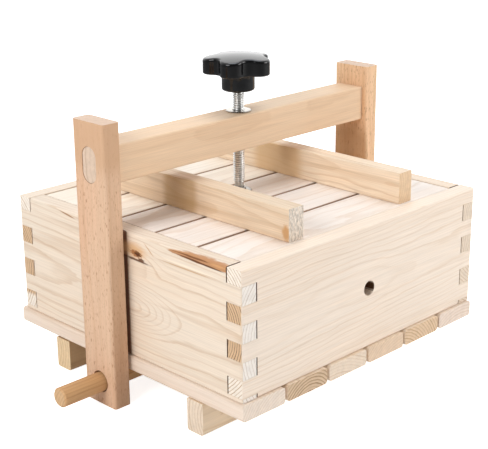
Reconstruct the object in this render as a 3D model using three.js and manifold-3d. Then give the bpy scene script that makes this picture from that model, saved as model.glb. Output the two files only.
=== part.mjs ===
// Wooden cheese press: a finger-jointed box on a slatted base, a slatted lid pushed down by a
// star-knob screw, and a yoke that a loose dowel holds under the base. Millimetres, +Z up.
// X runs along the crossbar, Y from the front (drain) wall to the back, Z = 0 is the table.
import * as THREE from 'three';
import { mergeVertices } from 'three/addons/utils/BufferGeometryUtils.js';
import Module from 'manifold-3d';

const wasm = await Module();
wasm.setup();

// ---- driving dimensions ----
const GAP = 0.3;                                   // play between neighbouring pieces
const FOOT_H = 28, FOOT_W = 18, FOOT_Y = [-87.5, 82.5];
const SLAT_T = 14, SLAT_L = 282, BASE_X = [-147.2, 144.5], SLAT_N = 6, SLAT_GAP = 2.9;
const BOX = { x0: -145, x1: 145, y0: -138.5, y1: 137.5, wall: 15, h: 106 };
const FLOOR = FOOT_H + SLAT_T;                     // top of the base slats
const BOX_Z = FLOOR + 0.3, BOX_TOP = BOX_Z + BOX.h;
const FINGER = 15, FIRST_FINGER = 3.5, FINGER_PLAY = 0.2;
const NOTCH_PLAY = 1.1;                            // notches are cut a little deeper than a finger
const DRAIN = { x: 1.5, z: 94, r: 6.5 };
const LID = { n: 5, gap: 3, t: 14, play: 1.2 };
const BATTEN = { w: 16.5, h: 27, len: 239, x: [-66.8, 69.2] };
const YOKE_Y = 6.5;                                // the yoke stands a little behind the middle
const UP = { t: 16.5, w: 38, h: 239, x: [-158.3, 154] };
const BAR = { w: 29, z0: 189, h: 31 };
const TENON = { w: 16.5, h: 29 };
const DOWEL = { r: 8.3, hole: 9.4, half: 208, rise: 0.6, side: 0.5 };   // it lies low in its holes
const DOWEL_Z = FOOT_H - DOWEL.r - GAP;
const SCREW_X = -3.5;                              // the screw stands close to the bar's middle
const SCREW = { r: 5, core: 4.2, pitch: 2 };
const KNOB = { z: 238.5, hubR: 14.3, hubH: 14.7, side: 13, dome: 3.6 };
const STAR = { lobes: 5, r: 30.3, lobeR: 10, hollowR: 9, turn: 66.2 };
const FLANGE = { r: 11, t: 1.1, bodyR: 6.5, len: 20 };
const PLATE = { r: 11, t: 1.4, bossR: 6.2, bossH: 4 };
const NAIL = { r: 1.1, headR: 2.6, len: 30, clear: 0.35 };
const WOODSCREW = { r: 1.5, headR: 3, len: 31, clear: 0.35 };

const group = new THREE.Group();
group.name = 'cheese_press';

const PINE = 0xe9d9c2, TAN = 0xe0c49c, BEECH = 0xdcb48c, HONEY = 0xc89a62, BLACK = 0x151515;
const ZINC = 0xb9bcc0;

function add(name, geometry, color, metal = 0, rough = 0.6) {
  const mesh = new THREE.Mesh(geometry,
    new THREE.MeshStandardMaterial({ color, metalness: metal, roughness: rough }));
  mesh.name = name;
  group.add(mesh);
  return mesh;
}

// ---- booleans ----
function toSolid(geometry) {
  const g = geometry.clone();
  g.deleteAttribute('normal'); g.deleteAttribute('uv');
  const m = mergeVertices(g, 1e-5);
  return new wasm.Manifold(new wasm.Mesh({ numProp: 3,
    vertProperties: new Float32Array(m.attributes.position.array),
    triVerts: new Uint32Array(m.index.array) }));
}
function toGeometry(solid) {
  const m = solid.getMesh(), g = new THREE.BufferGeometry();
  g.setAttribute('position', new THREE.BufferAttribute(new Float32Array(m.vertProperties), 3));
  g.setIndex(new THREE.BufferAttribute(new Uint32Array(m.triVerts), 1));
  const flat = g.toNonIndexed();
  flat.computeVertexNormals();
  return flat;
}
function subtract(geometry, cutters) {
  let s = toSolid(geometry);
  for (const c of cutters) s = s.subtract(toSolid(c));
  return toGeometry(s);
}
const intersect = (a, b) => toGeometry(toSolid(a).intersect(toSolid(b)));

// ---- basic shapes ----
function roundedRect(w, h, r, steps = 3) {
  // counter-clockwise outline centred on the origin; r = [bottom left, bottom right, top right, top left]
  const R = Array.isArray(r) ? r : [r, r, r, r], pts = [];
  const c = [[-1, -1, 180], [1, -1, 270], [1, 1, 0], [-1, 1, 90]];
  c.forEach(([sx, sy, a0], i) => {
    const rr = R[i], cx = sx * (w / 2 - rr), cy = sy * (h / 2 - rr);
    if (rr <= 0) { pts.push(new THREE.Vector2(cx, cy)); return; }
    for (let k = 0; k <= steps; k++) {
      const a = (a0 + 90 * k / steps) * Math.PI / 180;
      pts.push(new THREE.Vector2(cx + rr * Math.cos(a), cy + rr * Math.sin(a)));
    }
  });
  return new THREE.Shape(pts);
}
function prism(shape, depth, holes = []) {
  shape.holes.push(...holes);
  return new THREE.ExtrudeGeometry(shape, { depth, bevelEnabled: false, curveSegments: 10 });
}
// board along X: section (Y, Z); board along Y: section (X, Z); board along Z: section (X, Y)
function boardX(x0, x1, y0, y1, z0, z1, r) {
  const g = prism(roundedRect(y1 - y0, z1 - z0, r), x1 - x0);
  g.rotateX(Math.PI / 2); g.rotateZ(Math.PI / 2);
  return g.translate(x0, (y0 + y1) / 2, (z0 + z1) / 2);
}
function boardY(x0, x1, y0, y1, z0, z1, r) {
  const g = prism(roundedRect(x1 - x0, z1 - z0, r), y1 - y0);
  g.rotateX(Math.PI / 2);
  return g.translate((x0 + x1) / 2, y1, (z0 + z1) / 2);
}
function boardZ(x0, x1, y0, y1, z0, z1, r) {
  return prism(roundedRect(x1 - x0, y1 - y0, r), z1 - z0).translate((x0 + x1) / 2, (y0 + y1) / 2, z0);
}
const block = (x0, x1, y0, y1, z0, z1) =>
  new THREE.BoxGeometry(x1 - x0, y1 - y0, z1 - z0).translate((x0 + x1) / 2, (y0 + y1) / 2, (z0 + z1) / 2);
function turned(profile, seg = 24) {
  // profile: [radius, z] from the axis at the bottom to the axis at the top
  const g = new THREE.LatheGeometry(profile.map(([r, z]) => new THREE.Vector2(r, z)), seg);
  return g.rotateX(Math.PI / 2);
}

// ---- fasteners ----
function nailProfile(n, grow = 0) {
  const r = n.r + grow, h = n.headR + grow;
  return [[0, -n.len - grow], [r, -n.len + 2 - grow], [r, -n.headR + n.r], [h, -0.0 + 0], [0, 0]];
}
const fastener = n => turned(nailProfile(n), 12);
function pocket(n, out = 1) {
  const c = n.clear;
  return turned([[0, -n.len - c], [n.r + c, -n.len + 2 - c], [n.r + c, -n.headR + n.r - c * 0.4],
    [n.headR + c, 0], [n.headR + c, out], [0, out]], 12);
}

// ---- the box ----
// fingers of the long walls at both ends; z measured from the bottom of the box
const cuts = [];
for (let z = FIRST_FINGER; z < BOX.h; z += FINGER) cuts.push(z);
function wallShape(len, isFront) {
  // outline in (u along the wall, z); the front and back walls own the bands starting at odd cuts
  const t = BOX.wall, pts = [], half = len / 2, p = FINGER_PLAY / 2;
  const bands = [[0, cuts[0], false]];
  for (let i = 0; i < cuts.length; i++) {
    bands.push([cuts[i], i + 1 < cuts.length ? cuts[i + 1] : BOX.h, i % 2 === 0]);
  }
  const reach = owns => (owns ? half : half - t - NOTCH_PLAY);
  for (const [a, b, front] of bands) {
    const own = front === isFront;
    const lo = a + (a === 0 ? 0 : (own ? p : -p)), hi = b - (b === BOX.h ? 0 : (own ? p : -p));
    pts.push([reach(own), lo], [reach(own), hi]);
  }
  const left = pts.map(([u, z]) => [-u, z]).reverse();
  return new THREE.Shape([...pts, ...left].map(([u, z]) => new THREE.Vector2(u, z)));
}
function makeWalls() {
  const { x0, x1, y0, y1, wall: t, h } = BOX, cx = (x0 + x1) / 2, cy = (y0 + y1) / 2, r = 1.6;
  const lenX = x1 - x0, lenY = y1 - y0;
  const frontBlank = prism(wallShape(lenX, true), t).rotateX(Math.PI / 2);
  const sideBlank = prism(wallShape(lenY, false), t).rotateX(Math.PI / 2).rotateZ(Math.PI / 2);
  // rounded arrises: outer top edge and the outer upright corners
  const round = boardZ(x0, x1, y0, y1, BOX_Z - 1, BOX_TOP + 1, r);
  const front = frontBlank.clone().translate(cx, y0 + t, BOX_Z);
  const back = frontBlank.clone().translate(cx, y1, BOX_Z);
  const left = sideBlank.clone().translate(x0, cy, BOX_Z);
  const right = sideBlank.clone().translate(x1 - t, cy, BOX_Z);
  const drain = turned([[0, -30], [DRAIN.r, -30], [DRAIN.r, 30], [0, 30]], 28)
    .rotateX(Math.PI / 2).translate(DRAIN.x, y0, DRAIN.z);
  const e = 0.8;                                   // outer bottom arris
  const tops = { front: boardX(x0 - 1, x1 + 1, y0, y0 + t, BOX_Z, BOX_TOP, [e, 0, 0.6, r]),
    back: boardX(x0 - 1, x1 + 1, y1 - t, y1, BOX_Z, BOX_TOP, [0, e, r, 0.6]),
    left: boardY(x0, x0 + t, y0 - 1, y1 + 1, BOX_Z, BOX_TOP, [e, 0, 0.6, r]),
    right: boardY(x1 - t, x1, y0 - 1, y1 + 1, BOX_Z, BOX_TOP, [0, e, r, 0.6]) };
  const shape = (g, top) => intersect(intersect(g, top), round);
  add('front_wall', subtract(shape(front, tops.front), [drain]), PINE);
  add('back_wall', shape(back, tops.back), PINE);
  add('left_wall', shape(left, tops.left), PINE);
  add('right_wall', shape(right, tops.right), PINE);
}

// ---- the slatted base on two runners ----
function makeBase() {
  const pitch = (BASE_X[1] - BASE_X[0] + SLAT_GAP) / SLAT_N, w = pitch - SLAT_GAP;
  const nailZ = FLOOR - 0.5, pockets = { front: [], back: [] };
  for (let i = 0; i < SLAT_N; i++) {
    const a = BASE_X[0] + i * pitch, cut = [];
    FOOT_Y.forEach((y, k) => {
      const side = k ? 'back' : 'front', at = [a + w / 2, y, nailZ];
      cut.push(pocket(NAIL).translate(...at));
      pockets[side].push(pocket(NAIL).translate(...at));
      add(`base_nail_${side}_${i + 1}`, fastener(NAIL).translate(...at), ZINC, 0.8, 0.35);
    });
    const slat = boardY(a, a + w, -SLAT_L / 2, SLAT_L / 2, FOOT_H + 0.1, FLOOR, 2.6);
    add(`base_slat_${i + 1}`, subtract(slat, cut), PINE);
  }
  FOOT_Y.forEach((y, k) => {
    const foot = boardX(BASE_X[0], BASE_X[1], y - FOOT_W / 2, y + FOOT_W / 2, 0, FOOT_H - 0.1,
      [2.4, 2.4, 0.8, 0.8]);
    add(k ? 'back_foot' : 'front_foot', subtract(foot, pockets[k ? 'back' : 'front']), TAN);
  });
}

// ---- the slatted lid with its two battens ----
function makeLid() {
  const x0 = BOX.x0 + BOX.wall + LID.play, x1 = BOX.x1 - BOX.wall - LID.play;
  const y0 = BOX.y0 + BOX.wall + LID.play, y1 = BOX.y1 - BOX.wall - LID.play;
  const pitch = (y1 - y0 + LID.gap) / LID.n, w = pitch - LID.gap, top = BOX_TOP - 0.4;
  const bottom = top - LID.t, headZ = bottom + 0.5, pockets = [[], []];
  for (let i = 0; i < LID.n; i++) {
    const a = y0 + i * pitch, cut = [];
    BATTEN.x.forEach((x, k) => {
      const at = g => g.rotateX(Math.PI).translate(x, a + w / 2, headZ);
      cut.push(at(pocket(WOODSCREW)));
      pockets[k].push(at(pocket(WOODSCREW)));
      add(`lid_screw_${k ? 'right' : 'left'}_${i + 1}`, at(fastener(WOODSCREW)), ZINC, 0.8, 0.35);
    });
    if (i === 2) PLATE_SCREWS.forEach(([x, y]) => cut.push(plateScrewPocket(x, y, top)));
    add(`lid_slat_${i + 1}`, subtract(boardX(x0, x1, a, a + w, bottom, top, 1.2), cut), PINE);
  }
  const mid = (y0 + y1) / 2;
  BATTEN.x.forEach((x, k) => {
    const g = boardY(x - BATTEN.w / 2, x + BATTEN.w / 2, mid - BATTEN.len / 2, mid + BATTEN.len / 2,
      top + 0.15, top + 0.15 + BATTEN.h, 0.8);
    add(k ? 'lid_batten_right' : 'lid_batten_left', subtract(g, pockets[k]), TAN);
  });
  return top;
}

// ---- pressure plate: a disc with a cup that holds the end of the screw ----
const PLATE_SCREWS = [[SCREW_X - 8.4, YOKE_Y], [SCREW_X + 8.4, YOKE_Y]];
const PLATE_SCREW = { r: 0.9, headR: 1.7, len: 11, clear: 0.25 };
const plateScrewPocket = (x, y, top) => pocket(PLATE_SCREW).translate(x, y, top + PLATE.t + 0.1);
function makePlate(top) {
  const z = top + 0.15, cup = SCREW.core + 0.35;
  const plate = turned([[0, 0], [PLATE.r - 0.4, 0], [PLATE.r, 0.4], [PLATE.r, PLATE.t - 0.5],
    [PLATE.r - 0.5, PLATE.t], [PLATE.bossR, PLATE.t], [PLATE.bossR - 0.4, PLATE.bossH],
    [cup, PLATE.bossH], [cup, 1], [0, 1]], 40).translate(SCREW_X, YOKE_Y, z);
  const holes = PLATE_SCREWS.map(([x, y]) => plateScrewPocket(x, y, top));
  add('pressure_plate', subtract(plate, holes), ZINC, 0.9, 0.3);
  PLATE_SCREWS.forEach(([x, y], k) => add(`plate_screw_${k + 1}`,
    turned(nailProfile(PLATE_SCREW), 12).translate(x, y, top + PLATE.t + 0.1), ZINC, 0.8, 0.35));
  return z + 1;
}

// ---- yoke: two uprights, the tenoned crossbar and the dowel under the base ----
function stadiumPrism(w, h, len) {
  const g = prism(roundedRect(w, h, w / 2 - 0.001, 8), len);
  g.rotateX(Math.PI / 2); g.rotateZ(Math.PI / 2);
  return g;                                        // along +X, section (Y, Z)
}
function makeYoke() {
  const barZ = BAR.z0 + BAR.h / 2, xl = UP.x[0] + UP.t / 2, xr = UP.x[1] - UP.t / 2;
  UP.x.forEach((x, k) => {
    const g = boardZ(x - UP.t / 2, x + UP.t / 2, YOKE_Y - UP.w / 2, YOKE_Y + UP.w / 2, 0, UP.h, 2.2);
    const mortise = stadiumPrism(TENON.w + 2 * GAP, TENON.h + 2 * GAP, 60).translate(x - 30, YOKE_Y, barZ);
    const bore = turned([[0, -30], [DOWEL.hole, -30], [DOWEL.hole, 30], [0, 30]], 40)
      .rotateY(Math.PI / 2).translate(x, YOKE_Y - DOWEL.side, DOWEL_Z + DOWEL.rise);
    add(k ? 'right_upright' : 'left_upright', subtract(g, [mortise, bore]), BEECH);
  });
  const beam = boardX(xl + 0.15, xr - 0.15, YOKE_Y - BAR.w / 2, YOKE_Y + BAR.w / 2,
    BAR.z0, BAR.z0 + BAR.h, 1.4);
  const tenonLen = xr - xl + 2 * UP.t - 0.8;
  const tenon = stadiumPrism(TENON.w, TENON.h, tenonLen)
    .translate(-tenonLen / 2 + (xl + xr) / 2, YOKE_Y, barZ);
  const bore = turned([[0, -40], [SCREW.r + 1, -40], [SCREW.r + 1, 40], [0, 40]], 28)
    .translate(SCREW_X, YOKE_Y, barZ);
  const seat = turned([[0, -FLANGE.len - GAP], [FLANGE.bodyR + GAP, -FLANGE.len - GAP],
    [FLANGE.bodyR + GAP, 5], [0, 5]], 28).translate(SCREW_X, YOKE_Y, BAR.z0 + BAR.h);
  const bar = toGeometry(toSolid(beam).add(toSolid(tenon)).subtract(toSolid(bore)).subtract(toSolid(seat)));
  add('crossbar', bar, TAN);
  const c = 1.2;
  const rod = turned([[0, -DOWEL.half], [DOWEL.r - c, -DOWEL.half], [DOWEL.r, -DOWEL.half + c],
    [DOWEL.r, DOWEL.half - c], [DOWEL.r - c, DOWEL.half], [0, DOWEL.half]], 36)
    .rotateY(Math.PI / 2).translate(0, YOKE_Y, DOWEL_Z);
  add('dowel', rod, HONEY);
}

// ---- screw, flanged insert and star knob ----
function makeScrew(footZ) {
  const topZ = KNOB.z + KNOB.hubH + 8, pitch = SCREW.pitch, c = SCREW.core, r = SCREW.r;
  const profile = [[0, footZ + 0.15], [c - 0.8, footZ + 0.15], [c, footZ + 1], [c, footZ + 6]];
  for (let z = footZ + 6; z < KNOB.z - 3; z += pitch) {
    profile.push([c, z + 0.2], [r, z + pitch * 0.36], [r, z + pitch * 0.64], [c, z + pitch - 0.2]);
  }
  profile.push([c, KNOB.z - 1], [c, topZ], [0, topZ]);
  add('screw', turned(profile, 20).translate(SCREW_X, YOKE_Y, 0), ZINC, 0.95, 0.25);
  const top = BAR.z0 + BAR.h + 0.15, bore = SCREW.r + 0.35;
  const nut = turned([[bore, 0], [FLANGE.bodyR, 0], [FLANGE.bodyR, FLANGE.len], [FLANGE.r - 0.3, FLANGE.len],
    [FLANGE.r, FLANGE.len + 0.3], [FLANGE.r, FLANGE.len + FLANGE.t - 0.5],
    [FLANGE.r - 0.6, FLANGE.len + FLANGE.t], [bore, FLANGE.len + FLANGE.t], [bore, 0]], 32)
    .translate(SCREW_X, YOKE_Y, top - FLANGE.len);
  add('threaded_insert', nut, ZINC, 0.9, 0.3);
}
// The star's outline: round lobes joined by round hollows, each arc tangent to the next.
function starShape() {
  const { lobes, r, lobeR, hollowR, turn } = STAR, half = Math.PI / lobes, c = r - lobeR;
  const reach = lobeR + hollowR;
  const d = c * Math.cos(half) + Math.sqrt(reach * reach - (c * Math.sin(half)) ** 2);
  const lean = Math.atan2(d * Math.sin(half), d * Math.cos(half) - c);    // where a lobe meets its hollow
  const pts = [];
  const arc = (cx, cy, radius, from, to, n, a) => {
    for (let i = 0; i < n; i++) {
      const t = from + (to - from) * i / n, x = cx + radius * Math.cos(t), y = cy + radius * Math.sin(t);
      pts.push(new THREE.Vector2(x * Math.cos(a) - y * Math.sin(a), x * Math.sin(a) + y * Math.cos(a)));
    }
  };
  for (let k = 0; k < lobes; k++) {
    const a = turn * Math.PI / 180 + 2 * half * k, start = lean - Math.PI;
    arc(c, 0, lobeR, -lean, lean, 14, a);
    arc(d * Math.cos(half), d * Math.sin(half), hollowR, start, 2 * (half - Math.PI) - start, 7, a);
  }
  return new THREE.Shape(pts);
}
function makeKnob() {
  const z = KNOB.z, head = z + KNOB.hubH, R = STAR.r, rim = head + KNOB.side;
  const star = prism(starShape(), KNOB.side + KNOB.dome + 1).translate(0, 0, head);
  const dome = turned([[0, head - 2], [R - 2, head - 2], [R + 0.3, head + 1.2], [R + 0.3, rim - 1.2],
    [R - 0.9, rim + 0.2], [R * 0.72, rim + KNOB.dome * 0.5], [R * 0.4, rim + KNOB.dome * 0.85],
    [0, rim + KNOB.dome]], 56);
  const hub = turned([[0, z], [KNOB.hubR - 1.6, z], [KNOB.hubR - 0.4, z + 1.4], [KNOB.hubR, z + 3],
    [KNOB.hubR, head + 1], [0, head + 1]], 40);
  const well = turned([[0, z - 1], [7.3, z - 1], [7.3, head + 8.6], [0, head + 8.6]], 28);
  const body = toSolid(star).intersect(toSolid(dome)).add(toSolid(hub)).subtract(toSolid(well));
  add('knob', toGeometry(body).translate(SCREW_X, YOKE_Y, 0), BLACK, 0, 0.25);
  const tall = KNOB.hubH + 8.2, inner = SCREW.core + 0.3;
  const sleeve = turned([[inner, 0], [7, 0], [7, tall], [inner, tall], [inner, 0]], 28)
    .translate(SCREW_X, YOKE_Y, z + 0.2);
  add('knob_insert', sleeve, ZINC, 0.9, 0.3);
}

makeWalls();
makeBase();
const lidTop = makeLid();
const cupFloor = makePlate(lidTop);
makeYoke();
makeScrew(cupFloor);
makeKnob();

export default group;
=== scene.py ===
"""Wooden cheese press: the camera, woods, screw, star knob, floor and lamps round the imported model."""
import math
import bpy
from mathutils import Vector, Euler, Matrix


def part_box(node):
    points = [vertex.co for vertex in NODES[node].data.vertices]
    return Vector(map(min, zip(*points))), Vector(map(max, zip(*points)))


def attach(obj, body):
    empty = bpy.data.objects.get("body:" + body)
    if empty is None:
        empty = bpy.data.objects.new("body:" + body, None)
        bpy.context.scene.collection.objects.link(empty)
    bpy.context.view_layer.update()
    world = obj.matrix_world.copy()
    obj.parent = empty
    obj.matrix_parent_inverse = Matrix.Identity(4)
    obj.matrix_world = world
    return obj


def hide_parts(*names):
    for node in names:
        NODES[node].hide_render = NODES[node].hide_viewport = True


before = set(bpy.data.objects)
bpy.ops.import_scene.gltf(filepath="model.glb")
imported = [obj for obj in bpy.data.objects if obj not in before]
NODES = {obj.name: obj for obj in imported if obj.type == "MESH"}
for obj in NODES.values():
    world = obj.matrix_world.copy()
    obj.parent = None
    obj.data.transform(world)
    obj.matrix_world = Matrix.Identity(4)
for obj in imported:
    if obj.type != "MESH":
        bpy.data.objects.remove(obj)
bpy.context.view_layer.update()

scene = bpy.context.scene
MM = 0.001


# ---------------------------------------------------------------- camera
def make_camera():
    data = bpy.data.cameras.new("camera")
    cam = bpy.data.objects.new("camera", data)
    scene.collection.objects.link(cam)
    cam.location = (-0.7054, -0.7063, 0.4513)
    cam.rotation_euler = Euler([math.radians(a) for a in (71.493, 0.473, -44.941)], "XYZ")
    data.type = "PERSP"
    data.sensor_fit = "HORIZONTAL"
    data.sensor_width = 36.0
    data.lens = 87.44
    data.clip_start = 0.01
    scene.camera = cam


make_camera()


# ---------------------------------------------------------------- node helpers
class Tree:
    """Adds nodes to a node tree; an argument may be a socket or a plain value."""

    def __init__(self, node_tree):
        self.nodes = node_tree.nodes
        self.links = node_tree.links

    def put(self, socket, value):
        if isinstance(value, bpy.types.NodeSocket):
            self.links.new(value, socket)
        elif value is not None:
            socket.default_value = value

    def math(self, op, a, b=None, c=None, clamp=False):
        n = self.nodes.new("ShaderNodeMath")
        n.operation = op
        n.use_clamp = clamp
        for i, v in enumerate((a, b, c)):
            self.put(n.inputs[i], v)
        return n.outputs[0]

    def vmath(self, op, a, b=None):
        n = self.nodes.new("ShaderNodeVectorMath")
        n.operation = op
        self.put(n.inputs[0], a)
        self.put(n.inputs[1], b)
        return n.outputs["Value"] if op in ("LENGTH", "DOT_PRODUCT") else n.outputs["Vector"]

    def combine(self, x, y, z):
        n = self.nodes.new("ShaderNodeCombineXYZ")
        for i, v in enumerate((x, y, z)):
            self.put(n.inputs[i], v)
        return n.outputs[0]

    def split(self, v):
        n = self.nodes.new("ShaderNodeSeparateXYZ")
        self.put(n.inputs[0], v)
        return n.outputs

    def noise(self, vector, scale=1.0, detail=2.0, rough=0.5):
        n = self.nodes.new("ShaderNodeTexNoise")
        self.put(n.inputs["Vector"], vector)
        n.inputs["Scale"].default_value = scale
        n.inputs["Detail"].default_value = detail
        n.inputs["Roughness"].default_value = rough
        return n.outputs["Fac"]

    def white(self, w):
        n = self.nodes.new("ShaderNodeTexWhiteNoise")
        n.noise_dimensions = "1D"
        self.put(n.inputs["W"], w)
        return n.outputs["Value"]

    def step(self, v, lo, hi):
        """0 below lo, 1 above hi, smooth between."""
        n = self.nodes.new("ShaderNodeMapRange")
        n.interpolation_type = "SMOOTHSTEP"
        self.put(n.inputs["Value"], v)
        n.inputs["From Min"].default_value = lo
        n.inputs["From Max"].default_value = hi
        return n.outputs["Result"]

    def mix(self, fac, a, b, mode="MIX"):
        n = self.nodes.new("ShaderNodeMix")
        n.data_type = "RGBA"
        n.blend_type = mode
        self.put(n.inputs["Factor"], fac)
        self.put(n.inputs[6], (*a, 1.0) if isinstance(a, tuple) else a)
        self.put(n.inputs[7], (*b, 1.0) if isinstance(b, tuple) else b)
        return n.outputs[2]

    def coords(self, kind):
        return self.nodes.new("ShaderNodeTexCoord").outputs[kind]

    def light_path(self):
        return self.nodes.new("ShaderNodeLightPath").outputs


class Paint(Tree):
    """The node tree of a new material with one Principled shader."""

    def __init__(self, name):
        self.mat = bpy.data.materials.new(name)
        self.mat.use_nodes = True
        super().__init__(self.mat.node_tree)
        self.nodes.clear()
        out = self.nodes.new("ShaderNodeOutputMaterial")
        self.bsdf = self.nodes.new("ShaderNodeBsdfPrincipled")
        self.links.new(self.bsdf.outputs["BSDF"], out.inputs["Surface"])

    def shade(self, name, value):
        self.put(self.bsdf.inputs[name], value)

    def bump(self, height, strength, distance):
        n = self.nodes.new("ShaderNodeBump")
        n.inputs["Strength"].default_value = strength
        n.inputs["Distance"].default_value = distance
        self.put(n.inputs["Height"], height)
        self.links.new(n.outputs["Normal"], self.bsdf.inputs["Normal"])


def lin(r, g, b):
    """An sRGB colour, 0 to 1, as the linear colour that the shader takes."""
    return tuple(c / 12.92 if c <= 0.04045 else ((c + 0.055) / 1.055) ** 2.4 for c in (r, g, b))


# ---------------------------------------------------------------- wood
ORDER = {"X": (0, 1, 2), "Y": (1, 0, 2), "Z": (2, 0, 1)}    # along the grain first
FACING = (0.75, 0.92)                 # how far a normal leans to an axis before the face counts as its own
SEED_STEP = 37.17                     # moves each board to its own part of the noise
# painted shade: the brown of the lid slats' sides, in the gaps between them
GAP_SHADE_BROWN = lin(0.66, 0.46, 0.29)
# painted shade: the brown of the notch bottoms, in the joints' gaps
NOTCH_SHADE_BROWN = lin(0.34, 0.22, 0.13)
HEART, HEART_LATE = lin(0.835, 0.700, 0.555), lin(0.410, 0.255, 0.140)


def scaled(color, k):
    return tuple(min(1.0, c * k) for c in color)


def mark_mask(t, at, m):
    """1 inside the ellipsoid round m["at"] and 0 outside, ragged by m["rag"], soft from m["soft"] out.

    Lengths are in millimetres; m["turn"] tips the ellipsoid about X, in degrees.
    """
    local = t.vmath("SUBTRACT", at, tuple(m["at"]))
    if m.get("turn"):
        rot = t.nodes.new("ShaderNodeVectorRotate")
        rot.rotation_type = "X_AXIS"
        t.put(rot.inputs["Vector"], local)
        rot.inputs["Angle"].default_value = math.radians(-m["turn"])
        local = rot.outputs["Vector"]
    d = t.vmath("LENGTH", t.vmath("DIVIDE", local, tuple(m["size"])))
    jag = t.noise(t.vmath("MULTIPLY", at, tuple(m.get("grainy", (0.25, 0.12, 0.6)))), 1.0, 3.0, 0.6)
    d = t.math("ADD", d, t.math("MULTIPLY", t.math("SUBTRACT", jag, 0.5), m["rag"]))
    return t.math("SUBTRACT", 1.0, t.step(d, m["soft"], 1.0))


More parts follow.
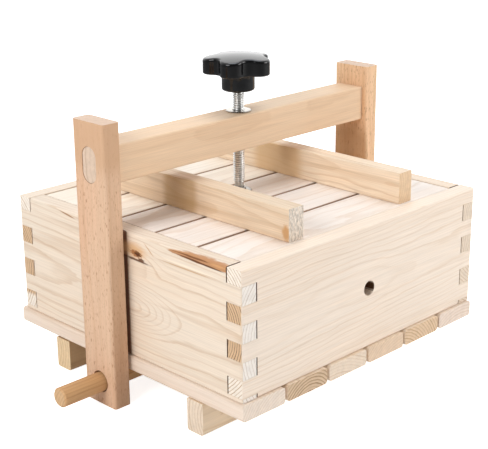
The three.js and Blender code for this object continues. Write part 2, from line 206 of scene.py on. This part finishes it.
def wood(name, centre, grain, pale, late, seed, ring=3.0, pith=(0.0, -40.0), tilt=(0.0, 0.0),
         wobble=3.0, contrast=0.5, thin=0.45, end_pale=None, end_late=None, end_contrast=0.8,
         end_rough=0.0, fibre=0.35, cloudy=0.5, fleck=0.0, fleck_color=(0.35, 0.2, 0.12),
         blush=(1.0, 0.97, 0.94), marks=(), swirls=(), rough=0.52, notch=None, sawn=None, heart=None):
    """Wood whose growth rings run through the board, so faces, edges and ends agree.

    Lengths are in millimetres from the board's centre: pith is where the tree's centre lies in the
    board's cross-section, tilt how far it leans per millimetre of length. notch is where the bottoms
    of a joint's notches lie, painted dark as shade in the joint's gaps; the gap-shade axis is the axis
    whose faces are painted brown as shade in the gaps between boards; the heartwood height is the
    height, from and to, where the ends show brown heartwood.
    """
    t = Paint(name)
    at = t.vmath("MULTIPLY", t.vmath("SUBTRACT", t.coords("Object"), tuple(centre)), (1 / MM,) * 3)
    xyz = t.split(at)
    u, v, w = (xyz[i] for i in ORDER[grain])
    off = seed * SEED_STEP

    def grainwise(along, across, shift=0.0):
        return t.combine(t.math("MULTIPLY_ADD", u, along, shift), t.math("MULTIPLY", v, across),
                         t.math("MULTIPLY", w, across))
    slow = t.noise(grainwise(0.010, 0.020, off), 1.0, 2.0, 0.45)
    fine = t.noise(grainwise(0.05, 0.22, off), 1.0, 2.0, 0.5)
    dv = t.math("SUBTRACT", t.math("MULTIPLY_ADD", u, -tilt[0], v), pith[0])
    dw = t.math("SUBTRACT", t.math("MULTIPLY_ADD", u, -tilt[1], w), pith[1])
    radius = t.vmath("LENGTH", t.combine(dv, dw, 0.0))
    radius = t.math("ADD", radius, t.math("MULTIPLY", t.math("SUBTRACT", slow, 0.5), wobble * 2.4))
    radius = t.math("ADD", radius, t.math("MULTIPLY", t.math("SUBTRACT", fine, 0.5), ring * 0.35))
    for s in swirls:
        # a bulge of the rings, as round a knot or where a flame opens on the face
        d = t.vmath("LENGTH", t.vmath("DIVIDE", t.vmath("SUBTRACT", at, tuple(s["at"])), tuple(s["size"])))
        radius = t.math("ADD", radius, t.math("MULTIPLY", t.math("SUBTRACT", 1.0, t.step(d, 0.0, 1.0)),
                                              s["push"]))
    phase = t.math("DIVIDE", radius, ring)
    band = t.math("FRACT", phase)
    vary = t.math("MULTIPLY_ADD", t.white(t.math("ADD", t.math("FLOOR", phase), off)), 0.85, 0.3)
    line = t.math("MULTIPLY", t.step(band, thin, 0.92), t.math("SUBTRACT", 1.0, t.step(band, 0.94, 1.0)))
    line = t.math("MULTIPLY", line, vary)
    nrm = t.split(t.coords("Normal"))
    end = t.step(t.math("ABSOLUTE", nrm[ORDER[grain][0]]), *FACING)
    # faces: fibres long and thin, and slow clouds of tone
    fib = t.noise(grainwise(0.022, 1.3, off), 1.0, 3.0, 0.6)
    streak = t.noise(grainwise(0.006, 0.16, off + 7.0), 1.0, 2.0, 0.5)
    cloud = t.noise(grainwise(0.008, 0.03, -off), 1.0, 2.0, 0.5)
    face = t.mix(t.math("MULTIPLY", line, contrast, clamp=True), lin(*pale), lin(*late))
    face = t.mix(t.math("MULTIPLY", t.step(streak, 0.50, 0.72), cloudy * 0.5), face, lin(*late))
    face = t.mix(t.math("MULTIPLY", t.step(cloud, 0.35, 0.7), cloudy * 2.0, clamp=True), face,
                 t.mix(1.0, face, tuple(blush), "MULTIPLY"))
    shade = t.math("MULTIPLY_ADD", t.math("SUBTRACT", fib, 0.5), fibre, 1.0)
    face = t.mix(1.0, face, t.combine(shade, shade, shade), "MULTIPLY")
    # ends: the rings themselves, with open pores
    end_pale, end_late = lin(*(end_pale or scaled(pale, 0.95))), lin(*(end_late or scaled(late, 0.9)))
    if heart:
        low, high = heart
        inside = t.math("MULTIPLY", t.step(xyz[2], low, low + 4), t.step(xyz[2], high, high - 4))
        end_pale, end_late = t.mix(inside, end_pale, HEART), t.mix(inside, end_late, HEART_LATE)
    pore = t.noise(at, 1.6, 2.0, 0.6)
    patch = t.noise(at, 0.28, 2.0, 0.5)
    cut = t.mix(t.math("MULTIPLY", line, end_contrast, clamp=True), end_pale, end_late)
    end_shade = t.math("MULTIPLY", t.math("MULTIPLY_ADD", t.math("SUBTRACT", pore, 0.5), 0.22, 1.0),
                       t.math("MULTIPLY_ADD", t.math("SUBTRACT", patch, 0.5), 0.25, 1.0))
    height = t.math("ADD", t.math("MULTIPLY", line, 0.5), t.math("MULTIPLY", fib, 0.5))
    if end_rough:
        torn = t.noise(t.vmath("MULTIPLY", at, (1.3, 1.3, 0.35)), 1.0, 3.0, 0.65)
        torn = t.step(torn, 0.40, 0.64)
        end_shade = t.math("MULTIPLY", end_shade, t.math("MULTIPLY_ADD", torn, -end_rough, 1.0))
        height = t.math("SUBTRACT", height, t.math("MULTIPLY", t.math("MULTIPLY", torn, end), 2.0))
    cut = t.mix(1.0, cut, t.combine(end_shade, end_shade, end_shade), "MULTIPLY")
    if fleck:
        dash = t.noise(grainwise(0.20, 0.95, off), 1.0, 1.0, 0.4)
        dash = t.step(dash, 0.615, 0.705)
        tiny = t.step(t.noise(grainwise(0.45, 2.6, off), 1.0, 1.0, 0.4), 0.60, 0.72)
        face = t.mix(t.math("MULTIPLY", dash, fleck), face, lin(*fleck_color))
        face = t.mix(t.math("MULTIPLY", tiny, fleck * 0.4), face, lin(*fleck_color))
        height = t.math("SUBTRACT", height, t.math("MULTIPLY", dash, 0.5))
    for m in marks:
        face = t.mix(t.math("MULTIPLY", mark_mask(t, at, m), m["strength"]), face, lin(*m["color"]))
    # painted shade: faces across the given axis turned brown, as in the gaps between boards
    if sawn is not None:
        side = t.step(t.math("ABSOLUTE", nrm[sawn]), *FACING)
        face = t.mix(t.math("MULTIPLY", side, 0.75), face, GAP_SHADE_BROWN)
    # painted shade: the notch bottoms' end grain dark, as in the joint's gaps
    if notch:
        deep = t.math("SUBTRACT", 1.0, t.step(t.math("ABSOLUTE", u), notch, notch + 1.0))
        cut = t.mix(deep, cut, NOTCH_SHADE_BROWN)
    t.shade("Base Color", t.mix(end, face, cut))
    t.shade("Roughness", t.math("MULTIPLY_ADD", fib, 0.16, rough - 0.08))
    t.shade("Specular IOR Level", 0.28)
    t.bump(height, 0.3, 0.0004)
    return t.mat


def centre_mm(node):
    lo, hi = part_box(node)
    return tuple((a + b) / 2 / MM for a, b in zip(lo, hi))


def dress(node, mat):
    o = NODES[node]
    o.data.materials.clear()
    o.data.materials.append(mat)
    return o


def soften(o, width):
    """Rub down the arrises of a board."""
    m = o.modifiers.new("worn_edges", "BEVEL")
    m.width = width * MM
    m.segments = 2
    m.limit_method = "ANGLE"
    m.angle_limit = math.radians(50)


def board(node, grain, worn=0.35, **kw):
    centre = tuple(c * MM for c in centre_mm(node))
    soften(dress(node, wood("wood_" + node, centre, grain, **kw)), worn)


PINE, PINE_LATE = (0.945, 0.870, 0.785), (0.830, 0.690, 0.530)
PALE_END = dict(end_pale=(0.945, 0.895, 0.835), end_late=(0.72, 0.58, 0.42))
WALL_HALF = 7.5                       # half a wall's thickness
NOTCH_X, NOTCH_Y = [(b - a) / MM / 2 - 8 for a, b in
                    zip(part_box("left_wall")[0][:2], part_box("right_wall")[1][:2])]


def on_left_wall(y, z):
    """A point of the left wall's outer face, from the wall's centre."""
    c = centre_mm("left_wall")
    return (-WALL_HALF, y - c[1], z - c[2])


def dress_box():
    marks = [
        # the brown band behind the upright: painted shade in the gap between the upright and the wall
        dict(at=on_left_wall(6.5, 95), size=(2.5, 17.0, 600), color=(0.430, 0.270, 0.175), rag=0.04,
             soft=0.88, strength=0.9),
        # a brown pitch streak under the top edge that widens towards the front, dark along its foot
        dict(at=on_left_wall(-101, 145.9), size=(9, 46, 3.3), color=(0.745, 0.530, 0.350), rag=0.45,
             soft=0.80, strength=0.95, grainy=(0.3, 0.10, 0.9)),
        dict(at=on_left_wall(-114, 146.2), size=(9, 11, 1.5), color=(0.850, 0.640, 0.430), rag=0.8,
             soft=0.4, strength=0.7, grainy=(0.3, 0.10, 0.9)),
        dict(at=on_left_wall(-86, 146.4), size=(9, 23, 1.0), color=(0.475, 0.280, 0.150), rag=1.1,
             soft=0.5, strength=0.85, grainy=(0.3, 0.10, 1.1)),
        dict(at=on_left_wall(-93, 143.8), size=(9, 36, 1.0), turn=2.0, color=(0.380, 0.220, 0.115), rag=0.9,
             soft=0.5, strength=0.9, grainy=(0.3, 0.08, 1.1)),
        # the knot beside the upright: warm halo, dark broken heart and the crack that bounds it
        dict(at=on_left_wall(-16, 135), size=(14, 22, 8.5), color=(0.865, 0.695, 0.510), rag=0.5,
             soft=0.35, strength=0.85),
        dict(at=on_left_wall(-20, 132.6), size=(9, 8.5, 3.4), turn=8, color=(0.640, 0.410, 0.235), rag=1.9,
             soft=0.55, strength=0.9, grainy=(0.4, 0.32, 0.75)),
        dict(at=on_left_wall(-22, 132.6), size=(9, 5.5, 2.3), turn=8, color=(0.340, 0.195, 0.110), rag=2.0,
             soft=0.5, strength=0.95, grainy=(0.5, 0.4, 0.9)),
        dict(at=on_left_wall(-20, 127.4), size=(9, 21, 1.4), turn=2, color=(0.370, 0.215, 0.115), rag=0.8,
             soft=0.4, strength=0.9),
        dict(at=on_left_wall(-26, 128.6), size=(9, 4.5, 1.7), turn=5, color=(0.400, 0.240, 0.140), rag=1.6,
             soft=0.5, strength=0.9, grainy=(0.5, 0.4, 0.9)),
        # two lines that lap over the knot and run on towards the fingers, a pale band between them
        dict(at=on_left_wall(-78, 134.6), size=(9, 44, 0.9), turn=0.5, color=(0.760, 0.590, 0.410), rag=0.4,
             soft=0.3, strength=0.75),
        dict(at=on_left_wall(-80, 136.6), size=(9, 44, 1.1), turn=0.5, color=(0.975, 0.905, 0.810), rag=0.3,
             soft=0.3, strength=0.8),
        dict(at=on_left_wall(-36, 139.4), size=(9, 10, 0.9), turn=38, color=(0.780, 0.600, 0.410), rag=0.4,
             soft=0.3, strength=0.75),
        # short dark streak near the back
        dict(at=on_left_wall(68, 145.0), size=(9, 14, 0.9), turn=8, color=(0.64, 0.45, 0.28),
             rag=0.7, soft=0.4, strength=0.85, grainy=(0.3, 0.05, 0.9)),
    ]
    swirls = [dict(at=on_left_wall(-12, 87), size=(60, 68, 27), push=-17.0),
              dict(at=on_left_wall(-20, 130), size=(60, 40, 20), push=-7.0)]
    board("left_wall", "Y", pale=(0.915, 0.848, 0.770), late=(0.750, 0.595, 0.435), seed=1, ring=3.0,
          pith=(62.0, -8.0), tilt=(-0.01, 0.02), wobble=2.0, contrast=0.35, thin=0.60, marks=marks,
          swirls=swirls, end_pale=(0.955, 0.920, 0.880), end_late=(0.76, 0.67, 0.59), end_contrast=0.7,
          notch=NOTCH_Y)
    board("front_wall", "X", pale=(0.952, 0.887, 0.818), late=(0.840, 0.715, 0.575), seed=2, ring=2.5,
          pith=(44.0, 4.0), tilt=(0.012, 0.03), wobble=3.5, contrast=0.30, thin=0.62, cloudy=0.35,
          notch=NOTCH_X, heart=(-22, 34), end_contrast=1.0, **PALE_END)
    board("back_wall", "X", pale=PINE, late=PINE_LATE, seed=3, ring=3.0, pith=(50.0, -20.0),
          tilt=(0.0, -0.05), wobble=4.0, contrast=0.36, thin=0.6, notch=NOTCH_X, heart=(-40, 34),
          **PALE_END)
    board("right_wall", "Y", pale=PINE, late=PINE_LATE, seed=4, ring=3.0, pith=(48.0, 15.0),
          tilt=(0.01, -0.04), wobble=4.0, contrast=0.36, thin=0.6, end_contrast=0.7, notch=NOTCH_Y)


def dress_base():
    pink = (0.925, 0.850, 0.780)
    # from the left: pale and late wood and contrast, the same three for the ends, and the rings' centre
    looks = [(pink, (0.83, 0.72, 0.61), 0.35, (0.935, 0.870, 0.805), (0.84, 0.74, 0.64), 0.5, (30, -30)),
             (PINE, PINE_LATE, 0.40, (0.845, 0.735, 0.610), (0.60, 0.46, 0.32), 0.9, (4, -22)),
             (PINE, PINE_LATE, 0.35, (0.925, 0.850, 0.765), (0.80, 0.67, 0.53), 0.6, (-14, -60)),
             (PINE, PINE_LATE, 0.35, (0.905, 0.800, 0.690), (0.81, 0.67, 0.53), 0.5, (30, -50)),
             (PINE, PINE_LATE, 0.40, (0.890, 0.775, 0.645), (0.71, 0.55, 0.39), 0.75, (-26, -24)),
             (pink, (0.82, 0.70, 0.60), 0.35, (0.925, 0.850, 0.785), (0.82, 0.70, 0.59), 0.55, (10, -50))]
    for i, (pale, late, c, end_pale, end_late, ec, pith) in enumerate(looks):
        board(f"base_slat_{i + 1}", "Y", pale=pale, late=late, seed=10 + i, ring=2.8, pith=pith,
              tilt=(0.01, 0.005), wobble=2.5, contrast=c, thin=0.4, end_pale=end_pale,
              end_late=end_late, end_contrast=ec)
    board("front_foot", "X", pale=(0.940, 0.860, 0.752), late=(0.82, 0.69, 0.53), seed=21, ring=3.4,
          pith=(-30.0, 4.0), tilt=(0.02, 0.01), contrast=0.45, end_pale=(0.915, 0.840, 0.755),
          end_late=(0.78, 0.66, 0.53), end_contrast=0.7)
    # the back foot's faces darker brown than the front foot's: partly the wood's own brown, partly painted
    # shade
    board("back_foot", "X", pale=(0.740, 0.610, 0.460), late=(0.58, 0.43, 0.29), seed=22, ring=3.4,
          pith=(30.0, 4.0), tilt=(-0.02, 0.01), contrast=0.45, end_pale=(0.900, 0.790, 0.635),
          end_late=(0.78, 0.64, 0.46), end_contrast=0.6)


def dress_lid():
    # the lid slats' sides are painted brown as shade in the gaps between them
    for i in range(5):
        # painted light: the back two slats, in the shade of the crossbar and a batten, get a warmer, lighter
        # pale
        pale = (0.962, 0.918, 0.878) if i < 3 else (0.975, 0.925, 0.858)
        board(f"lid_slat_{i + 1}", "X", pale=pale, late=(0.870, 0.775, 0.680), worn=0.5, sawn=1,
              seed=30 + i, ring=4.6, pith=((-18.0, 24.0, 6.0, -28.0, 14.0)[i], -46.0 - 4 * i),
              tilt=(0.03 * (-1) ** i, 0.01), wobble=4.0, contrast=0.38, thin=0.6, end_contrast=0.7)
    spot = dict(at=(-8.25, -116.5, -6.5), size=(6, 5.5, 9), color=(0.78, 0.58, 0.37), rag=0.7, soft=0.4,
                strength=0.85, grainy=(0.4, 0.4, 0.3))
    # painted shadow of the crossbar on the left batten's outer side
    shade = dict(at=(-8.25, 5, 0), size=(6, 25, 60), color=(0.705, 0.555, 0.350), rag=0.1, soft=0.6,
                 strength=0.60)
    # painted shadow of the crossbar on the right batten's outer side
    painted_tan_shade = dict(at=(-8.25, 22, 0), size=(6, 36, 60), color=(0.870, 0.730, 0.550), rag=0.1, soft=0.6,
               strength=0.80)
    board("lid_batten_left", "Y", pale=(0.890, 0.800, 0.695), late=(0.780, 0.645, 0.495), seed=40,
          ring=3.4, pith=(-34.0, -6.0), tilt=(0.02, 0.03), wobble=5.0, contrast=0.45, thin=0.5,
          end_pale=(0.975, 0.925, 0.865), end_late=(0.84, 0.74, 0.64), end_contrast=0.6, end_rough=0.40,
          fibre=0.5, cloudy=0.9, marks=[spot, shade])
    board("lid_batten_right", "Y", pale=(0.942, 0.862, 0.764), late=(0.820, 0.690, 0.545), seed=41,
          ring=3.4, pith=(-28.0, 8.0), tilt=(0.02, 0.03), wobble=5.0, contrast=0.45, thin=0.5,
          end_pale=(0.915, 0.795, 0.655), end_late=(0.83, 0.68, 0.52), end_contrast=0.5, fibre=0.45,
          cloudy=0.9, marks=[painted_tan_shade])


def dress_yoke():
    near = dict(pale=(0.865, 0.722, 0.598), late=(0.800, 0.638, 0.500))
    far = dict(pale=(0.945, 0.796, 0.640), late=(0.825, 0.645, 0.475))
    # painted shade: the near upright's front face darker over its lower part
    heart = dict(at=(0, -20.5, -95), size=(16, 3.2, 130), color=(0.690, 0.520, 0.385), rag=0.15, soft=0.1,
                 strength=0.85)
    # painted shadow of the crossbar on the far upright's inner face, below the bar
    bar_shadow = dict(at=(-8.25, 0, 28), size=(6, 60, 46), color=(0.690, 0.510, 0.345), rag=0.1, soft=0.5,
                strength=0.66)
    # painted shade: the near upright darker high up
    painted_tan_shade = dict(at=(0, 0, 112), size=(40, 60, 42), color=(0.800, 0.640, 0.500), rag=0.1, soft=0.6,
               strength=0.75)
    for side, look in (("left", dict(near, seed=50, pith=(40.0, 30.0), marks=[heart, painted_tan_shade])),
                       ("right", dict(far, seed=51, pith=(-30.0, 45.0), marks=[bar_shadow]))):
        board(side + "_upright", "Z", ring=4.2, worn=0.6, tilt=(0.01, 0.02), wobble=3.0,
              contrast=0.35, fleck=0.55, fleck_color=(0.64, 0.43, 0.30), end_contrast=0.4,
              end_pale=(0.82, 0.700, 0.600), end_late=(0.76, 0.62, 0.51), blush=(1.0, 0.95, 0.93),
              fibre=0.3, rough=0.5, **look)
    board("crossbar", "X", pale=(0.912, 0.795, 0.668), late=(0.835, 0.690, 0.548), seed=52, ring=5.0,
          pith=(-44.0, 10.0), tilt=(0.0, 0.03), wobble=5.0, contrast=0.38, thin=0.5,
          end_pale=(0.84, 0.74, 0.65), end_late=(0.72, 0.60, 0.50), end_contrast=0.7, fibre=0.35,
          cloudy=0.7)
    board("dowel", "X", pale=(0.820, 0.650, 0.465), late=(0.700, 0.510, 0.330), seed=53, ring=3.0,
          pith=(-22.0, -9.0), tilt=(0.01, 0.01), wobble=2.5, contrast=0.5, thin=0.4, fibre=0.4,
          end_pale=(0.83, 0.68, 0.51), end_late=(0.70, 0.54, 0.38), end_contrast=0.6, rough=0.5)


# ---------------------------------------------------------------- metal and plastic
def zinc(name, tint, rough, grit=0.12, roots=None):
    """roots is a thread's axis (x, y) and the radii between which it darkens towards its root, painted shade
    in the thread's grooves.
    """
    t = Paint(name)
    p = t.coords("Object")
    blot = t.noise(p, 108.0, 3.0, 0.6)
    fine = t.noise(p, 900.0, 2.0, 0.5)
    color = t.mix(t.step(blot, 0.3, 0.7), lin(*tint), lin(*(c * 0.88 for c in tint)))
    # painted shade: the thread's roots darker than its crests
    if roots:
        (x, y), low, high = roots
        away = t.vmath("MULTIPLY", t.vmath("SUBTRACT", p, (x, y, 0.0)), (1.0, 1.0, 0.0))
        proud = t.step(t.vmath("LENGTH", away), low, high)
        color = t.mix(proud, lin(0.80, 0.80, 0.79), color)
    t.shade("Base Color", color)
    t.shade("Metallic", 1.0)
    t.shade("Roughness", t.math("MULTIPLY_ADD", fine, 0.18, rough - 0.06))
    t.bump(fine, grit, 0.0001)
    return t.mat


def plastic(name):
    t = Paint(name)
    p = t.coords("Object")
    cloud = t.noise(p, 90.0, 2.0, 0.5)
    skin = t.noise(p, 1500.0, 2.0, 0.5)
    t.shade("Base Color", t.mix(cloud, (0.0025, 0.0025, 0.0027), (0.0050, 0.0050, 0.0054)))
    t.shade("Roughness", t.math("MULTIPLY_ADD", cloud, 0.06, 0.07))
    t.shade("IOR", 1.44)
    t.bump(skin, 0.04, 0.0001)
    return t.mat


# ---------------------------------------------------------------- meshes made here
def mesh_piece(name, verts, faces, mat, body, slot, nodes):
    me = bpy.data.meshes.new(name)
    me.from_pydata(verts, [], faces)
    me.validate()
    me.polygons.foreach_set("use_smooth", [True] * len(me.polygons))
    me.materials.append(mat)
    o = bpy.data.objects.new(name, me)
    scene.collection.objects.link(o)
    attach(o, body)
    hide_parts(*nodes)


def close_rows(verts, cols, cx, cy):
    """Join rows of cols points into one skin, closed by a point on the axis at each end."""
    n = len(verts) // cols
    faces = []
    for i in range(n - 1):
        for k in range(cols):
            a, b = i * cols + k, i * cols + (k + 1) % cols
            faces.append((a, b, b + cols, a + cols))
    lo, hi, top = len(verts), len(verts) + 1, (n - 1) * cols
    verts = verts + [(cx, cy, verts[0][2]), (cx, cy, verts[top][2])]
    for k in range(cols):
        faces.append((lo, (k + 1) % cols, k))
        faces.append((hi, top + k, top + (k + 1) % cols))
    return verts, faces


def screw_axis():
    lo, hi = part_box("screw")
    return (lo[0] + hi[0]) / 2, (lo[1] + hi[1]) / 2


PITCH = 2.0 * MM


def make_screw(mat):
    """A right-hand helical thread that runs out over two turns at each end into plain tips."""
    lo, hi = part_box("screw")
    cx, cy = screw_axis()
    crest, root, chamfer, plain = 5.0 * MM, 4.05 * MM, 0.8 * MM, 6.5 * MM
    root_flat, flank = 0.20, 0.36     # shares of half a turn's rise
    cols, rows_a_turn = 40, 10
    z0, z1 = lo[2], hi[2]
    start, stop = z0 + plain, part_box("knob")[0][2] + 1 * MM
    step = PITCH / rows_a_turn
    rows = [("end", z0), ("tip", z0 + chamfer), ("tip", start - step)]
    rows += [("thread", start + i * step) for i in range(int((stop - start) / step))]
    rows += [("tip", stop + step), ("tip", z1)]

    def radius_at(tag, z, a):
        if tag == "end":
            return root - chamfer
        if tag == "tip":
            return root
        turn = (z / PITCH - a / (2 * math.pi)) % 1.0
        rise = 1 - abs(2 * turn - 1)
        grow = min(1.0, max(0.0, (z - start) / (2 * PITCH)), max(0.0, (stop - z) / (2 * PITCH)))
        return root + (crest - root) * grow * min(1.0, max(0.0, (rise - root_flat) / flank))
    verts = []
    for tag, z in rows:
        for k in range(cols):
            a = 2 * math.pi * k / cols
            r = radius_at(tag, z, a)
            verts.append((cx + r * math.cos(a), cy + r * math.sin(a), z))
    mesh_piece("press_screw", *close_rows(verts, cols, cx, cy), mat, "screw_and_knob",
               "zinc_plated_steel", ["screw"])


def star_outline(big, lobe, hollow, turn, inset=0.0, lobes=5):
    """Round lobes joined by round hollows, each arc tangent to the next, drawn in by inset."""
    half, c = math.pi / lobes, big - lobe
    d = c * math.cos(half) + math.sqrt((lobe + hollow) ** 2 - (c * math.sin(half)) ** 2)
    dx, dy = d * math.cos(half), d * math.sin(half)
    lean = math.atan2(dy, dx - c)
    arcs = [(c, 0.0, lobe - inset, -lean, lean, 24),
            (dx, dy, hollow + inset, lean - math.pi, 2 * half - math.pi - lean, 16)]
    points = []
    for k in range(lobes):
        way = Matrix.Rotation(turn + 2 * half * k, 2)
        for x, y, r, first, last, n in arcs:
            for i in range(n):
                t = first + (last - first) * i / n
                points.append(way @ Vector((x + r * math.cos(t), y + r * math.sin(t))))
    return points


def make_knob(mat):
    """From the sleeve's well, round the hub and up the lobes to the domed top."""
    lo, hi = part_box("knob")
    cx, cy = screw_axis()
    big, lobe, hollow, turn = 30.2 * MM, 10 * MM, 9 * MM, math.radians(66.2)
    shape = (big, lobe, hollow, turn)
    outline = star_outline(*shape)
    z0, apex, hub, well = lo[2], hi[2] - 0.05 * MM, 14.2 * MM, 7.3 * MM
    under, tip, fillet, lip = z0 + 14.7 * MM, z0 + 27.7 * MM, 1.8 * MM, 1.3 * MM
    rows = []

    def ring(r, z):
        rows.append([(p.x / p.length * r, p.y / p.length * r, z) for p in outline])

    def cap(x, y):
        return tip + (apex - tip) * (1 - (x * x + y * y) / big ** 2)
    quarter = [math.pi / 2 * k / 6 for k in range(7)]
    ring(well, z0 + 14 * MM)
    ring(well, z0 + 0.4 * MM)
    for a in quarter:
        ring(hub - fillet * (1 - math.sin(a)), z0 + fillet * (1 - math.cos(a)))
    ring(hub, z0 + 7 * MM)
    ring(hub, under - 0.7 * MM)
    ring(hub + 0.6 * MM, under)
    for a in quarter:
        rows.append([(p.x, p.y, under + lip * (1 - math.cos(a)))
                     for p in star_outline(*shape, inset=lip * (1 - math.sin(a)))])
    foot = under + lip
    for share in (0.12, 0.5, 0.88):
        rows.append([(p.x, p.y, foot + (cap(p.x, p.y) - fillet - foot) * share) for p in outline])
    for a in quarter:
        rows.append([(p.x, p.y, cap(p.x, p.y) - fillet * (1 - math.sin(a)))
                     for p in star_outline(*shape, inset=fillet * (1 - math.cos(a)))])
    brink = star_outline(*shape, inset=fillet)
    for share in (0.94, 0.86, 0.76, 0.64, 0.50, 0.36, 0.22, 0.10):
        rows.append([(p.x * share, p.y * share, cap(p.x * share, p.y * share)) for p in brink])
    verts = [(cx + x, cy + y, z) for row in rows for x, y, z in row]
    mesh_piece("star_knob", *close_rows(verts, len(outline), cx, cy), mat, "screw_and_knob",
               "black_plastic", ["knob"])


def dress_metal():
    make_screw(zinc("zinc_screw", (0.96, 0.965, 0.965), 0.30, grit=0.02,
                    roots=(screw_axis(), 4.2 * MM, 4.8 * MM)))
    make_knob(plastic("black_knob_plastic"))
    dress("threaded_insert", zinc("zinc_insert", (0.74, 0.72, 0.69), 0.24, grit=0.03))
    dress("pressure_plate", zinc("zinc_plate", (0.66, 0.66, 0.65), 0.30))
    dress("knob_insert", zinc("zinc_knob_insert", (0.80, 0.80, 0.80), 0.30))
    nails = zinc("zinc_fasteners", (0.70, 0.71, 0.72), 0.32)
    for name in NODES:
        if name.startswith(("base_nail", "lid_screw", "plate_screw")):
            dress(name, nails)


# ---------------------------------------------------------------- floor and light
def make_stage():
    """A white floor, 0.2 mm under the runners, that the metal and the knob reflect as grey."""
    bpy.ops.mesh.primitive_plane_add(size=8.0, location=(0, 0, -0.2 * MM))
    floor = bpy.context.object
    floor.name = "floor"
    t = Paint("floor_paint")
    grain = t.noise(t.coords("Object"), 400.0, 2.0, 0.5)
    path = t.light_path()
    paint = t.mix(grain, (0.86, 0.86, 0.86), (0.89, 0.89, 0.89))
    t.shade("Base Color", t.mix(path["Is Glossy Ray"], paint, (0.38, 0.38, 0.38)))
    t.shade("Roughness", 0.9)
    t.shade("Specular IOR Level", 0.1)
    t.shade("Emission Color", (1.0, 1.0, 1.0, 1.0))
    t.shade("Emission Strength", t.math("MULTIPLY_ADD", path["Is Camera Ray"], 0.72, 0.08))
    floor.data.materials.append(t.mat)


def area(name, place, aim, size, power, color):
    data = bpy.data.lights.new(name, "AREA")
    data.shape = "RECTANGLE"
    data.size, data.size_y = size
    data.energy = power
    data.color = color
    o = bpy.data.objects.new(name, data)
    scene.collection.objects.link(o)
    o.location = place
    o.rotation_euler = (Vector(aim) - Vector(place)).to_track_quat("-Z", "Y").to_euler()


DOME = 0.30                           # the even light from all round
GLOW, GLOW_WAY = 1.9, Vector((0.62, 0.62, 0.48)).normalized()     # reflections: how bright, and where


def make_light():
    """Three lamps in a white studio, even all round, that reflections see bright behind and dim in front."""
    world = bpy.data.worlds.new("studio")
    scene.world = world
    world.use_nodes = True
    t = Tree(world.node_tree)
    bg = t.nodes["Background"]
    path = t.light_path()
    dot = t.vmath("DOT_PRODUCT", t.coords("Generated"), GLOW_WAY)
    facing = t.math("POWER", t.math("MULTIPLY_ADD", dot, 0.5, 0.5, clamp=True), 2.0)
    seen = t.math("MAXIMUM", t.math("MULTIPLY", facing, GLOW), path["Is Camera Ray"])
    lit = t.math("MULTIPLY", path["Is Diffuse Ray"], DOME)
    rest = t.math("MULTIPLY", t.math("SUBTRACT", 1.0, path["Is Diffuse Ray"]), seen)
    t.put(bg.inputs["Strength"], t.math("ADD", lit, rest))
    t.put(bg.inputs["Color"], (1.0, 1.0, 1.0, 1.0))
    area("key", (-1.20, -0.10, 0.80), (0, 0, 0.12), (0.75, 0.60), 10.3, (0.975, 0.985, 1.0))
    area("front", (0.95, -1.20, 0.60), (0.08, 0, 0.12), (0.9, 0.7), 11.2, (1.0, 0.99, 0.985))
    area("top", (0.20, 0.10, 1.60), (0, 0, 0.15), (0.9, 0.9), 10.5, (0.84, 0.93, 1.04))
    scene.view_settings.view_transform = "Standard"
    scene.view_settings.look = "None"


dress_box()
dress_base()
dress_lid()
dress_yoke()
dress_metal()
make_stage()
make_light()
